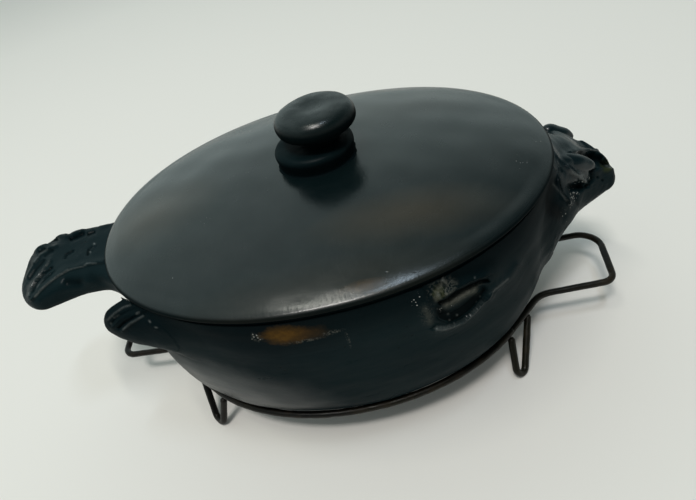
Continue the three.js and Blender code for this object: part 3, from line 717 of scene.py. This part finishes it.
# Tail: a pillow over a lobed outline, higher at its far side and drooping at its near tip. Droop and thinner grow
# from start over its length, and from farEdge over its width.
tail = {
    "middle": (-178.0, 0.0), "power": 3.2, "around": 480, "out": 180, "reach": 14.0, "uneven": (26, 41, 0.22),
    "start": -128, "length": 111, "farEdge": 28, "width": 56, "depth": 13.8, "droop": (2.5, 12), "thick": 12,
    "thinner": (5.0, 1.5),
    "outline": [
        (-120, -51), (-138, -45), (-150, -39), (-165, -34), (-185, -32), (-203, -34), (-213, -33.5), (-223, -27),
        (-231, -16.5), (-236.5, -5), (-238, 6), (-237.5, 15), (-236.5, 22.5), (-233, 29), (-227.5, 30.5), (-223.5, 29),
        (-221.5, 33.5), (-216.5, 37.5), (-210.5, 37), (-205.5, 34), (-201.5, 34), (-195, 34.5), (-186, 33), (-170, 31),
        (-150, 29.5), (-120, 26.5), (-118, 0)],
    "strokes": [
        ([(31, 300), (40, 290), (48.3, 282.5), (58.3, 275), (67.5, 269.7), (83, 265.5), (96, 262.5), (104, 262)],
         3.6, 2.2, 1.7),  # ridges
        ([(28.3, 295.8), (30, 286.7), (34.2, 280), (39.2, 274.2), (45, 266), (50, 260)], 1.8, 1.9),
        ([(33.3, 261.7), (40, 253.3), (46.7, 249.2), (56, 246)], 2.2, 1.8),
        ([(27, 276), (32, 267), (38, 259.5)], 1.8, 1.0), ([(37, 287), (43, 279.5), (50, 273)], 1.5, 1.0),
        ([(33, 291), (37, 283.5), (44, 275), (52, 268)], 1.5, -1.8),  # grooves between them
        ([(30, 279), (36, 270), (44, 261)], 1.6, -1.5),
        ([(41, 284), (48, 277), (55, 271)], 1.1, -0.9), ([(45, 256), (53, 250.5)], 1.5, -1.0),
        ([(68, 282), (79, 282)], 5.0, -1.9), ([(92, 277), (100, 280)], 5.0, -0.8),  # hollows of the near side
        ([(37, 251), (39, 246.5), (43.3, 244.5), (48.3, 245)], 3.0, 1.9), ([(40, 252.5), (45, 249.8)], 1.9, -2.4),
        ([(52, 237.5), (58, 235), (65, 235.5)], 3.2, 1.9), ([(53, 240.5), (57, 239.5)], 1.7, -2.4),  # far lobes
        ([(73, 231.5), (82, 230)], 3.2, 1.5), ([(71.7, 239.2), (77, 237), (83, 234)], 2.2, -2.8),
        ([(89, 234.5), (94, 232.5)], 2.0, -2.0), ([(101, 226), (107, 224)], 3.0, 1.2),
        ([(65.5, 258), (66.5, 254.5), (73, 251)], 1.2, -1.4), ([(88, 255), (89, 250), (92.5, 247)], 1.3, -1.3),
        ([(91, 250), (94.5, 245)], 1.2, 0.9),
    ],
    "crestHighlights": [
        ([(35, 296.5), (40, 290.3), (48.3, 283), (58.3, 275.5), (67.5, 270.2)], 1.0, 0.95),
        ([(67.5, 270.2), (75, 268), (83.3, 266.2), (87, 263.3), (95.8, 263)], 0.8, 0.6),
        ([(28.3, 295), (30, 286.7), (34.2, 280), (39.2, 274.2)], 1.0, 0.85),
        ([(39, 274), (45, 266), (49, 261)], 0.9, 0.4),
        ([(34, 261.5), (40, 253.8), (46.7, 249.6)], 0.9, 0.55), ([(94.2, 243.7)], 0.9, 0.9), ([(90, 252)], 1.0, 0.8),
        ([(37, 287), (43, 279.5)], 0.7, 0.4)],
}


# From the middle of its top over its edge to the middle of its underside: r * outline, and thickness by
# (1 - r ** power) ** (1 / power), with r = sin(u).
def tailRings():
    line = smoothRows(tail["outline"] + tail["outline"][:1], 1200) - tail["middle"]
    angle, reach = np.unwrap(np.arctan2(line[:, 1], line[:, 0])), np.hypot(line[:, 0], line[:, 1])
    if angle[-1] < angle[0]:
        angle, reach = angle[::-1], reach[::-1]
    t = angles(tail["around"]) + angle[0]
    u = np.linspace(0.015, 0.985, tail["out"])[:, None] * math.pi
    r = np.sin(u)
    out = r * np.interp(t, angle, reach)
    x, y = tail["middle"][0] + out * np.cos(t), tail["middle"][1] + out * np.sin(t)
    side = np.sign(np.cos(u)) * (1 - r ** tail["power"]) ** (1 / tail["power"])
    along = np.clip((tail["start"] - x) / tail["length"], 0, 1.05)
    aside = np.clip((tail["farEdge"] - y) / tail["width"], 0, 1.1)  # 1 at the near edge
    droop = (tail["droop"][0] + tail["droop"][1] * aside) * along ** 3
    thinner = tail["thinner"][0] * smoothStep(0.55, 1.05, along) + tail["thinner"][1] * (1 - aside) * along
    return np.stack([x, y, pot["rimHeight"] - tail["depth"] - droop + side * (tail["thick"] - thinner)], -1)


# The tail is not the same on both sides, so its strokes are not mirrored.
base = tailRings()
rings = smoothedOn(strokes(base, tail["strokes"], both=False), tail["reach"], normalsOf(base))
rings = intoWall(handMade(rings, *tail["uneven"]))
# Marks: crests get a painted highlight and the hollows get painted shade.
place("tail_clay", "tail", rings, "pot", modelledClay, {
    "crest_highlight": marked(rings, tail["crestHighlights"], both=False), "hollow": marked(rings, hollows(tail["strokes"]), both=False)})
print("tail made")


# An oval section carried along a curve, upright and square to it: stations are x, y, z, half thickness, half height.
def lobeRings(stations, along, around, power):
    rows = smoothRows(stations, along)
    spine = rows[:, :3]
    ahead = unit(np.gradient(spine, axis=0))
    aside = unit(np.cross([0, 0, 1], ahead))
    over = np.cross(ahead, aside)
    u, v = oval(rows[:, 3:4], rows[:, 4:5], angles(around)[None, :], power)
    return spine[:, None] + aside[:, None] * u[..., None] + over[:, None] * v[..., None]


# Fins: the left ones are the right ones mirrored.
def placeFins(label, rings, marks):
    for side, way in (("right", 1), ("left", mirror)):
        place(f"{side}_{label}_clay", f"{side}_{label}", rings * way, "pot", finClay, marks)


rearFin = {
    "along": 190, "around": 160, "power": 2.2, "reach": 12.0, "uneven": (14, 51, 0.2), "highest": 139.8,
    "stations": [
        (-58, -88, 112, 3, 5), (-74, -88, 114, 5, 8.5), (-90, -87, 116.5, 7, 12.5), (-105, -84.5, 118.4, 8.8, 15.2),
        (-119, -79.5, 119.6, 10, 16.2), (-131, -73.7, 119.6, 10.6, 15.4), (-142.5, -68.5, 118.9, 9.2, 12.2),
        (-150.3, -66.8, 118.2, 5.8, 7.4), (-152.9, -67.0, 118.2, 1.2, 1.6)],
    "strokes": [
        ([(106.7, 320), (115, 312.5), (123.3, 306.7), (131.7, 304)], 1.6, 1.3),
        ([(110.8, 324), (117, 317), (127, 311.5), (138, 307)], 1.1, -1.2),
        ([(112, 328), (119, 320), (129, 314)], 1.3, 0.9),
        ([(119, 328), (125, 322.5), (134, 317.5), (146.7, 311)], 1.4, -2.0),
        ([(122.5, 331), (130, 324), (137, 319.5), (145, 315)], 1.5, 1.3), ([(147, 320), (158, 327)], 3.0, 0.8)],
    "crestHighlights": [
        ([(107.5, 320), (115, 313), (123.3, 307.2), (130, 305)], 0.9, 0.6), ([(111, 323.5)], 1.0, 0.9),
        ([(123, 329.5), (130, 323.5), (137, 319.5), (143, 316)], 0.9, 0.65), ([(136.5, 313.8), (139, 312.5)], 0.9, 0.8),
        ([(149.2, 320.8), (150, 322)], 0.9, 0.7), ([(155, 327.3), (157, 327.6)], 0.8, 0.6),
        ([(114, 318), (119, 315)], 0.8, 0.4)],
}
base = lobeRings(rearFin["stations"], rearFin["along"], rearFin["around"], rearFin["power"])
rings = smoothedOn(strokes(base, rearFin["strokes"]), rearFin["reach"], normalsOf(base))
rings = intoWall(handMade(rings, *rearFin["uneven"]))
rings[..., 2] = np.minimum(rings[..., 2], rearFin["highest"])
# Marks: crests get a painted highlight and the hollows get painted shade.
placeFins("rear_fin", rings, {
    "crest_highlight": marked(rings, rearFin["crestHighlights"]), "hollow": marked(rings, hollows(rearFin["strokes"])) * 0.8})

# Front fins: a curled flap smoothed onto the wall, with a scooped pocket. The strokes lift a patch of the
# wall, which lies just under the bowl's skin where nothing lifts it.
frontFin = {
    "x": (8.0, 118.0), "z": (137.5, 60.0), "across": 248, "down": 196, "thick": 3.5, "skin": 0.1,
    "strokes": [
        ([(434, 312), (442, 300), (456, 292), (474, 284), (490, 278)], 15.0, 2.6),  # broad swell
        ([(436.3, 328.5), (445, 328), (453.8, 325), (462.5, 320.5), (470, 315), (476.3, 308), (481.3, 301.5),
          (488, 295)], 1.7, 3.4, 5.5),  # curled rim, sharp inside
        ([(488, 294), (498, 286), (509, 278), (518, 265)], 4.5, 1.6, 5.5),  # it runs out on the wall
        ([(441, 316), (450, 318), (460, 313.5), (469, 306.5), (476, 299), (482, 291)], 4.0, -4.4),  # scooped hollow
        ([(446, 306), (456, 300.5), (466, 294.5), (474, 290.5)], 3.6, 1.8),  # flat floor
        ([(438, 297), (448, 293.5), (456, 288.5), (470, 281.5), (484, 277)], 6.0, 2.4, 1.5),  # flap, sharp below
        ([(438.8, 302.2), (447.5, 299), (453.8, 293.5), (470, 285.7), (480, 280.7), (487, 280)], 1.3, -2.6),  # slit
        ([(436, 299), (438, 293)], 2.6, 1.9), ([(443, 280), (446, 284)], 2.6, 1.8),  # clump
        ([(452, 281), (457, 283)], 2.0, 1.2), ([(447, 294), (453, 290)], 1.8, 1.0),
        ([(432, 323), (428, 312), (426, 302), (421, 291)], 8.0, 1.5, 4.0),  # left flap
        ([(448, 313.8)], 1.1, 1.2), ([(456.9, 315)], 1.1, 1.2), ([(449.4, 320)], 1.1, 1.0),
        ([(437.5, 308.8)], 1.1, 0.9), ([(476.3, 301.9)], 0.9, 0.8), ([(480, 296.3)], 0.9, 0.8),
        ([(467.5, 306.3)], 0.9, 0.7),
    ],
    # Painted highlight along the curled rim and on the crumbs, which are rubbed glossy too.
    "crest_highlight": [
        ([(437, 327.6), (445, 327.3), (453.8, 324.4), (462.5, 320), (470, 314.4), (476.3, 307.5), (481.3, 301.3)],
         1.2, 1.3, 2.6),
        ([(481.3, 301.3), (487.5, 296), (497, 288.5), (508, 279)], 1.3, 0.3), ([(448, 313.8)], 1.0, 1.0),
        ([(456.9, 315)], 1.0, 0.9), ([(449.4, 320)], 0.9, 0.9), ([(437.5, 308.8)], 0.9, 0.5),
        ([(480, 296.3)], 0.8, 0.8), ([(476.3, 301.9)], 0.7, 0.6), ([(417.5, 287.5)], 1.0, 0.8),
        ([(443, 280)], 1.4, 0.8), ([(474.8, 277.5)], 0.9, 0.9), ([(440, 298), (438, 294)], 1.6, 0.5)],
    # Painted shade in the hollows; the first three also keep the scooped hollow just over the wall.
    "hollow": [
        ([(438, 309), (441, 317), (450, 320), (460, 315), (469, 308), (476, 300), (483, 290)], 3.6, 1.0),
        ([(443, 311.5), (452, 313.5), (460, 308.5), (468, 302.5), (475, 296)], 3.6, 0.9),
        ([(438.8, 302.2), (447.5, 298.8), (453.8, 292.8), (470, 285), (480, 280.2), (487, 279.5)], 1.2, 1.0),
        ([(440, 283), (436, 288)], 2.0, 0.6), ([(455, 277), (475, 270), (490, 262)], 6.0, 0.5)],
    "bare": [
        ([(446, 304.5), (456, 299.5), (466, 293), (474, 290)], 3.4, 0.95), ([(474, 286.5), (481, 283)], 1.6, 0.4),
        ([(425, 309), (428, 316), (430, 322)], 3.0, 0.3), ([(436, 300), (437, 294), (441, 285)], 2.2, 0.5),
        ([(443, 280), (446, 283)], 1.8, 0.6), ([(451, 281), (457, 283)], 1.4, 0.35),
        ([(446, 295), (453, 290.5)], 1.2, 0.4)],
}


# How far the strokes lift the wall at places of the picture. A hollow stays just over it.
def raised(places):
    least = 0.6 * np.clip(rise(places, frontFin["hollow"][:3]), 0, 1) - 0.4
    return np.maximum(rise(places, frontFin["strokes"]), least)


# The wall's own surface over x and z, lifted by the strokes. Each row goes round the patch: along its front and
# back again behind it, inside the wall.
def frontFinRings():
    x = np.linspace(*frontFin["x"], frontFin["across"])[None, :]
    z = np.linspace(*frontFin["z"], frontFin["down"])[:, None]
    a, b = halfAxes(z)
    power = pot["ovalPower"]
    y = -b * (1 - np.clip(np.abs(x / a), 0, 1) ** power) ** (1 / power)
    wall = np.stack(np.broadcast_arrays(x, y, z), -1)
    n = unit(np.cross(np.gradient(wall, axis=1), np.gradient(wall, axis=0)))
    n *= -np.sign(n[..., 1].mean())
    wall = wall + n * uneven(wall)[..., None]
    lift = settled(lambda lift: raised(seenAt(wall + n * lift)[0])[..., None])[..., 0]
    rough = (0.25 * wobble(wall, 9, 55) + 0.1 * wobble(wall, 4, 56)) * smoothStep(1.0, 3.5, lift)
    front = wall + n * (lift + rough - frontFin["skin"] * smoothStep(0.12, 0.02, lift))[..., None]
    return np.concatenate([front, (wall - n * frontFin["thick"])[:, ::-1]], axis=1)


rings = frontFinRings()
front = np.arange(rings.shape[1]) < frontFin["across"]
# Marks: crests get a painted highlight, the hollows painted shade, and bare clay its paler tone.
marks = {k: np.clip(rise(seenAt(rings)[0], frontFin[k]), 0, 1) * front for k in ("crest_highlight", "hollow", "bare")}
marks["hollow"] *= 1 - marks["bare"]
placeFins("front_fin", rings, marks)
print("fins made")

# Stand: round wire along the same runs and bends as the solids. Corners are shares of the ring's half-axes, a loop's
# with the radius of its bend. A leg leaves the ring at two shares of its length and comes down to one place, and
# its ends are cut back from the ring's middle by trim wire radii.
stand = {
    "wire": 2.5, "height": 30.4, "seatGap": 0.2, "round": 20, "step": 1.6, "footHalf": 5, "trim": 1.55,
    "rails": {"right": (.755, .92), "left": (.92, .755)},
    "loops": {"head": [(.968, -.43, 20), (1.357, -.456, 9), (1.441, .04, 16), (1.043, .068, 20)],
              "tail": [(-1.06, -.15, 20), (-1.414, -.095, 9), (-1.4, .44, 16), (-.968, .447, 20)]},
    "legs": {"head": [.745, .88, .757, -.832], "tail": [-.765, -.9, -.86, -.665]},
}
ups = np.arange(-0.9, 0.91, 0.1)
reach = stand["wire"] + stand["seatGap"]
ringHalf = [(half + reach * np.sqrt(1 - ups * ups)).max() for half in halfAxes(stand["height"] + ups * reach)]


# The ring's side between the two loops, from the tail to the head
def railPoints(side):
    a, b = (math.acos(share ** (pot["ovalPower"] / 2)) for share in stand["rails"][side])
    x, y = oval(*ringHalf, (-1 if side == "right" else 1) * np.linspace(math.pi - b, a, 160))
    return np.stack([x, y, np.full_like(x, stand["height"])], -1)


# Straight runs between corners, each corner bent to its radius
def bentRun(corners, bends):
    corners = [np.asarray(c, float) for c in corners]
    points = [corners[0][None]]
    for before, corner, after, radius in zip(corners, corners[1:], corners[2:], bends):
        back, on = unit(before - corner), unit(after - corner)
        half = math.acos(back @ on) / 2
        middle = corner + unit(back + on) * radius / math.sin(half)
        a, b = (corner + way * radius / math.tan(half) - middle for way in (back, on))
        sweep = math.pi - 2 * half
        s = np.linspace(0, 1, 12)[:, None]
        points.append(middle + (a * np.sin((1 - s) * sweep) + b * np.sin(s * sweep)) / math.sin(sweep))
    points.append(corners[-1][None])
    return np.concatenate(points)


# The ring drawn out at one end: a bent run from its right side round the loop's corners to its left side
def loopPoints(end):
    ends = [railPoints(side)[-1 if end == "head" else 0] for side in ("right", "left")]
    corners = [(x * ringHalf[0], y * ringHalf[1], stand["height"]) for x, y, _ in stand["loops"][end]]
    return bentRun([ends[0], *corners, ends[1]], [radius for _, _, radius in stand["loops"][end]])


# The same run with points at even steps
def evenly(points, step):
    run = np.concatenate([[0], np.cumsum(np.linalg.norm(np.diff(points, axis=0), axis=1))])
    at = np.linspace(0, run[-1], int(run[-1] / step) + 2)
    return np.stack([np.interp(at, run, points[:, k]) for k in range(3)], -1)


# A tube of round wire along points: rings square to them, a little dented, with rounded-off ends.
def tubeRings(points, upright, seed, rounded=True):
    p = evenly(points, stand["step"])
    ahead = unit(np.gradient(p, axis=0))
    aside = unit(upright - (ahead @ upright)[:, None] * ahead)
    over = np.cross(ahead, aside)
    run = np.arange(len(p)) * stand["step"]
    fromEnd = np.minimum(run, run[::-1])
    size = stand["wire"] * (1 + 0.02 * wobble(p, 18, seed) * smoothStep(0, 8, fromEnd))
    if rounded:
        size *= np.clip(0.55 + fromEnd / 3, 0, 1)
    t = angles(stand["round"])
    ring = aside[:, None] * np.cos(t)[None, :, None] + over[:, None] * np.sin(t)[None, :, None]
    rings = p[:, None] + ring * size[:, None, None]
    return rings + ring * (0.05 * wobble(rings, 7, seed + 1))[..., None]


up = np.array([0.0, 0.0, 1.0])
for side in ("right", "left"):
    place(side + "_rail_wire", side + "_rail", tubeRings(railPoints(side), up, 61, False), "stand", wireSteel)
for end in ("head", "tail"):
    place(end + "_end_loop_wire", end + "_end_loop", tubeRings(loopPoints(end), up, 63, False), "stand", wireSteel)

rightWire = np.concatenate([loopPoints("tail")[:14][::-1], railPoints("right"), loopPoints("head")[:14]])
rightWire = rightWire[np.argsort(rightWire[:, 0], kind="stable")]


# The place on the ring's right side at x
def onRing(x):
    return np.array([x, np.interp(x, rightWire[:, 0], rightWire[:, 1]), stand["height"]])


# Each right leg is a hairpin, and turned round it is the left one of the other end.
for end, other in (("head", "tail"), ("tail", "head")):
    inner, outer = (onRing(s * ringHalf[0]) for s in stand["legs"][end][:2])
    foot = np.array([stand["legs"][end][2] * ringHalf[0], stand["legs"][end][3] * ringHalf[1], stand["wire"]])
    half = unit(outer - inner) * stand["footHalf"]
    hairpin = bentRun([inner, foot - half, foot + half, outer], [stand["footHalf"]] * 2)
    trim = stand["wire"] * stand["trim"]
    hairpin[0] += unit(hairpin[1] - hairpin[0]) * trim
    hairpin[-1] += unit(hairpin[-2] - hairpin[-1]) * trim
    rings = tubeRings(hairpin, unit(np.cross(half, (inner + outer) / 2 - foot)), 66)
    place(end + "_right_leg_wire", end + "_right_leg", rings, "stand", wireSteel)
    place(other + "_left_leg_wire", other + "_left_leg", rings * np.array([-1.0, -1.0, 1.0]), "stand", wireSteel)
print("stand made")

# Table, room and lamps. Each side of the room is the way to it, the cosine from which its light begins, and how
# much it adds: the wall behind the table is the brightest, the ceiling over the head end and the front are dim.
room = {
    "half": 4, "cloth": (0.82, 0.795, 0.76), "range": (0.955, 1.17), "own": (0.8, 0.8, 0.74), "ownShare": 0.05,
    "tone": (0.84, 1.0, 0.98), "seenTone": (1, 0.99, 0.95), "seenLevel": 0.68, "level": 0.42, "full": 0.95,
    "sides": [((-0.2, 0.85, 0.48), 0.1, 0.32), ((0.6, 0.0, 0.8), 0.55, -0.40), ((0.0, -0.96, 0.28), 0.5, -0.28)],
}
tableTop = bpy.data.meshes.new("table")
corners = [(x * room["half"], y * room["half"], 0) for x, y in ((-1, -1), (1, -1), (1, 1), (-1, 1))]
tableTop.from_pydata(corners, [], [(0, 1, 2, 3)])
table = bpy.data.objects.new("table", tableTop)
bpy.context.collection.objects.link(table)
cloth = Finish("table_cloth")
x, y = (cloth.node("ShaderNodeSeparateXYZ", values={"Vector": cloth.spot}, out=k) for k in ("X", "Y"))
paler = (y * 0.8 - x * 0.45).between(-0.1, 1.4)  # away from the lamp
tones = (tuple(c * level for c in room["cloth"]) for level in room["range"])
woven = cloth.shader(Base_Color=cloth.mixed(paler, *tones), Roughness=0.9, IOR=1.2)
# To the camera a part of the cloth's light is its own, which keeps the shadow from going black.
own = cloth.node("ShaderNodeEmission", values={"Color": (*room["own"], 1)})
toCamera = cloth.node("ShaderNodeLightPath", out="Is Camera Ray")
table.data.materials.append(cloth.made(cloth.both(toCamera * room["ownShare"], woven, own)))

world = bpy.data.worlds.new("room")
bpy.context.scene.world = world
world.use_nodes = True
world.node_tree.nodes.clear()
air = Nodes(world.node_tree)
way = air.node("ShaderNodeTexCoord", out="Generated")
level = room["level"]
for towards, start, light in room["sides"]:
    cosine = air.node("ShaderNodeVectorMath", {"operation": "DOT_PRODUCT"}, {0: way, 1: towards}, out="Value")
    level = level + cosine.between(start, room["full"]) * light
seen = air.node("ShaderNodeLightPath", out="Is Camera Ray")
level = level * (1 - seen) + seen * room["seenLevel"]
tone = air.mixed(seen, room["tone"], room["seenTone"])
sky = air.node("ShaderNodeBackground", values={"Color": tone, "Strength": level})
air.node("ShaderNodeOutputWorld", values={"Surface": sky})

# Each lamp is where it is, what it points at, its size, its watts and its colour.
lamps = {
    "overhead": ((-0.5, -1.5, 3.8), (0.0, -0.1, 0.1), (1.0, 0.5), 68.0, (1.0, 0.97, 0.93)),
    "ceiling strip": ((-0.33, -0.3, 2.3), (-0.02, -0.1, 0.1), (1.0, 0.12), 10.0, (1.0, 1.0, 0.9)),
    "window strip": ((0.4, -0.3, 2.3), (-0.02, -0.1, 0.1), (0.45, 0.12), 5.5, (0.7, 0.86, 1.0)),
}
for name, (at, towards, size, watts, colour) in lamps.items():
    light = bpy.data.lights.new(name, "AREA")
    light.shape, light.size, light.size_y = "RECTANGLE", *size
    light.energy, light.color = watts, colour
    holder = bpy.data.objects.new(name, light)
    bpy.context.collection.objects.link(holder)
    holder.location = at
    holder.rotation_mode = "QUATERNION"
    holder.rotation_quaternion = (Vector(towards) - Vector(at)).to_track_quat("-Z", "Y")

bpy.context.scene.view_settings.view_transform = "Standard"
print("scene ready")
